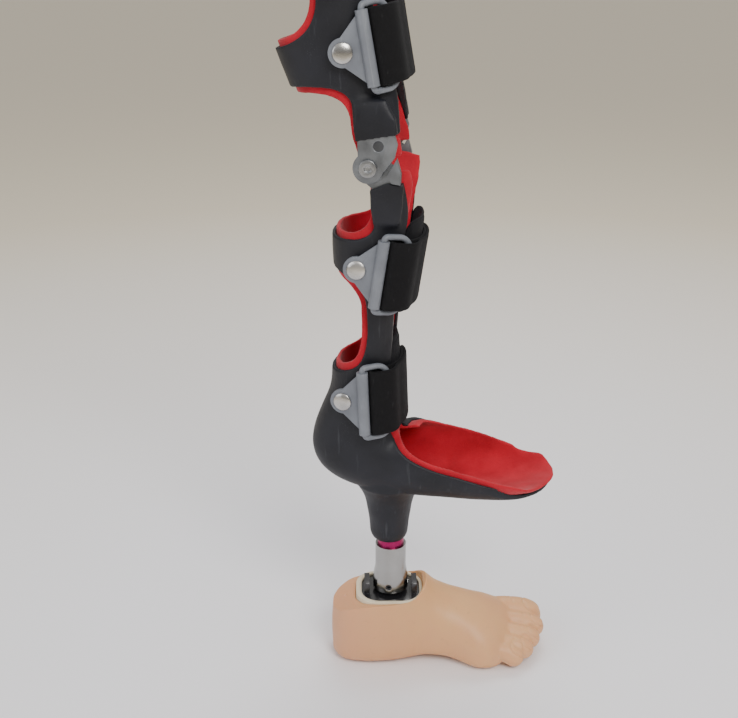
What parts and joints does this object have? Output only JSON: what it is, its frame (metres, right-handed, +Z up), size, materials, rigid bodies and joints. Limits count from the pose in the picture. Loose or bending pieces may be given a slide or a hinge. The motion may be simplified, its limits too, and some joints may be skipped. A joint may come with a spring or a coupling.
{
  "type": "prosthetic leg",
  "caption": "Child's extension prosthesis: moulded foot on a tube clamp, foot tray and calf shell, hinged knee and thigh shell, closed by straps in rings.",
  "frame": {"origin": "on the floor under the axis of the ankle tube", "axes": "+X to the toes, +Y to the inner side of this right leg, +Z up"},
  "size_m": [0.2427, 0.1101, 0.6185],
  "materials": {
    "flesh": "soft moulded foam rubber, flesh coloured",
    "keel": "plain hardwood",
    "cream_foam": "cream cellular foam",
    "black_gloss": "glossy black",
    "alloy": "satin turned alloy",
    "magenta": "magenta anodised",
    "fastener": "bright steel",
    "knee_steel": "satin grey steel",
    "laminate": "matte black laminate",
    "red_foam": "red closed cell foam",
    "grey_plastic": "grey moulded plastic",
    "webbing": "black webbing with hook and loop",
    "pad_cloth": "black padded cloth",
    "bearing": "natural nylon"
  },
  "bodies": {
    "foot": {"foot_cover": "flesh", "foot_keel": "keel", "foot_bolt": "fastener", "foot_foam_core": "cream_foam", "foot_adapter": "black_gloss"},
    "clamp": {"tube_clamp": "alloy", "clamp_set_screws": "fastener", "clamp_screw": "fastener"},
    "shank": {"pylon_tube": "magenta", "lamination_anchor": "alloy", "shank_shell": "laminate", "shank_liner": "red_foam", "lateral_lower_bar": "knee_steel", "lateral_bushing": "bearing", "medial_lower_bar": "knee_steel", "medial_bushing": "bearing", "calf_chafe": "grey_plastic", "calf_rivet": "fastener", "calf_strap": "webbing", "calf_anchor_rivet": "fastener", "calf_pad": "pad_cloth", "ankle_chafe": "grey_plastic", "ankle_rivet": "fastener", "ankle_strap": "webbing", "ankle_anchor_rivet": "fastener", "ankle_pad": "pad_cloth"},
    "thigh": {"thigh_shell": "laminate", "thigh_liner": "red_foam", "lateral_upper_bar": "knee_steel", "lateral_stop_screw": "fastener", "lateral_pivot_screw": "fastener", "lateral_pivot_nut": "fastener", "medial_upper_bar": "knee_steel", "medial_stop_screw": "fastener", "medial_pivot_screw": "fastener", "medial_pivot_nut": "fastener", "upper_thigh_chafe": "grey_plastic", "upper_thigh_rivet": "fastener", "upper_thigh_strap": "webbing", "upper_thigh_anchor_rivet": "fastener", "lower_thigh_chafe": "grey_plastic", "lower_thigh_rivet": "fastener", "lower_thigh_strap": "webbing", "lower_thigh_anchor_rivet": "fastener"},
    "upper_thigh_ring": {"upper_thigh_ring": "grey_plastic", "upper_thigh_strap_end": "webbing"},
    "lower_thigh_ring": {"lower_thigh_ring": "grey_plastic", "lower_thigh_strap_end": "webbing"},
    "calf_ring": {"calf_ring": "grey_plastic", "calf_strap_end": "webbing"},
    "ankle_ring": {"ankle_ring": "grey_plastic", "ankle_strap_end": "webbing"}
  },
  "joints": [
    {"name": "ankle_tilt", "type": "hinge", "parent": "foot", "child": "clamp", "pos_m": [0, 0, 0.045], "axis": [0, 1, 0], "range_deg": [-5, 5]},
    {"name": "pylon_swivel", "type": "hinge", "parent": "clamp", "child": "shank", "pos_m": [0, 0, 0.09], "axis": [0, 0, 1], "range_deg": [-20, 20]},
    {"name": "knee_flexion", "type": "hinge", "parent": "shank", "child": "thigh", "pos_m": [-0.013, 0, 0.411], "axis": [0, -1, 0], "range_deg": [0, 90]},
    {"name": "upper_thigh_ring_lift", "type": "hinge", "parent": "thigh", "child": "upper_thigh_ring", "pos_m": [-0.03188, -0.05029, 0.5874], "axis": [0.1736, 0, -0.9848], "range_deg": [0, 20]},
    {"name": "lower_thigh_ring_lift", "type": "hinge", "parent": "thigh", "child": "lower_thigh_ring", "pos_m": [-0.01294, -0.04584, 0.4892], "axis": [0.1736, 0, -0.9848], "range_deg": [0, 20]},
    {"name": "calf_ring_lift", "type": "hinge", "parent": "shank", "child": "calf_ring", "pos_m": [-0.00537, -0.04397, 0.33686], "axis": [-0.1478, 0, -0.989], "range_deg": [0, 20]},
    {"name": "ankle_ring_lift", "type": "hinge", "parent": "shank", "child": "ankle_ring", "pos_m": [-0.01701, -0.03847, 0.23672], "axis": [0.0436, 0, -0.999], "range_deg": [0, 20]}
  ]
}
